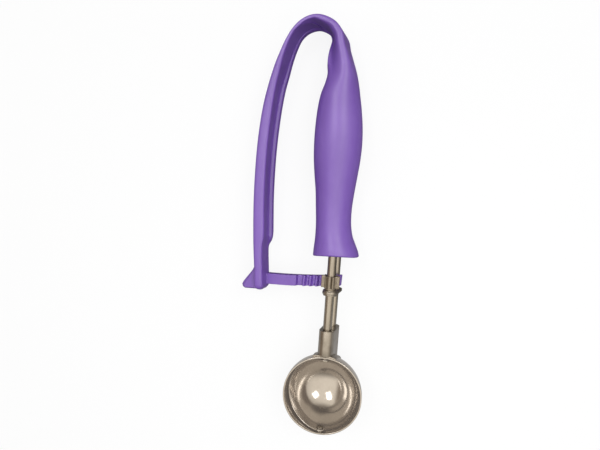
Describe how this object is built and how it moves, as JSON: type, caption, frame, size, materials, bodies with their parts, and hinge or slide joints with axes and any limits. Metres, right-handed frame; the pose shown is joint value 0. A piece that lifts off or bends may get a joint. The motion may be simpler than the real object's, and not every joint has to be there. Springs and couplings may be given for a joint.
{
  "type": "ice cream scoop",
  "caption": "Squeeze-handle ice cream scoop: a springy one-piece handle whose lever drives a rack and pinion that sweeps a scraper blade through a round bowl.",
  "frame": {"origin": "the spot in the plane of the bowl's rim where the middle plane of the two rods cuts it, level with the bowl's middle and half a millimetre from the rim's centre", "axes": "+Z square to the rods, from the support rod to the scraper shaft, and the way through the loop; +Y along the handle, away from the bowl; +X towards the grip's side, with the squeeze lever at -X. The bowl opens 8 degrees from +Z towards +X. The scoop lies on its back."},
  "size_m": [0.0742, 0.2274, 0.0287],
  "materials": {
    "purple_nylon": "satin moulded nylon",
    "mirror_steel": "polished stainless steel",
    "satin_steel": "brushed stainless steel"
  },
  "bodies": {
    "handle": {"grip": "purple_nylon", "flex_loop": "purple_nylon", "support_rod": "satin_steel", "shaft_guide": "satin_steel", "neck_block": "satin_steel", "bowl_saddle": "satin_steel", "bowl": "mirror_steel", "tip_pivot": "satin_steel", "tip_washer": "satin_steel"},
    "lever": {"lever_arm": "purple_nylon", "rack_arm": "purple_nylon"},
    "scraper": {"scraper_shaft": "satin_steel", "pinion": "satin_steel", "thrust_washer": "satin_steel", "retaining_ring": "satin_steel", "neck_washer": "satin_steel", "scraper_blade": "mirror_steel"}
  },
  "joints": [
    {"name": "lever_squeeze", "type": "hinge", "parent": "handle", "child": "lever", "pos_m": [-0.02, 0.2, -0.00985], "axis": [0, 0, 1], "range_deg": [0, 4.52], "stiffness_Nm_per_rad": 9, "deforming": ["flex_loop"]},
    {"name": "scraper_turn", "type": "hinge", "parent": "handle", "child": "scraper", "pos_m": [0, 0, -0.0035], "axis": [0, -1, 0], "range_deg": [0, 154]}
  ],
  "couplings": [
    {"joint": "scraper_turn", "follows": "lever_squeeze", "ratio": 34.06}
  ]
}
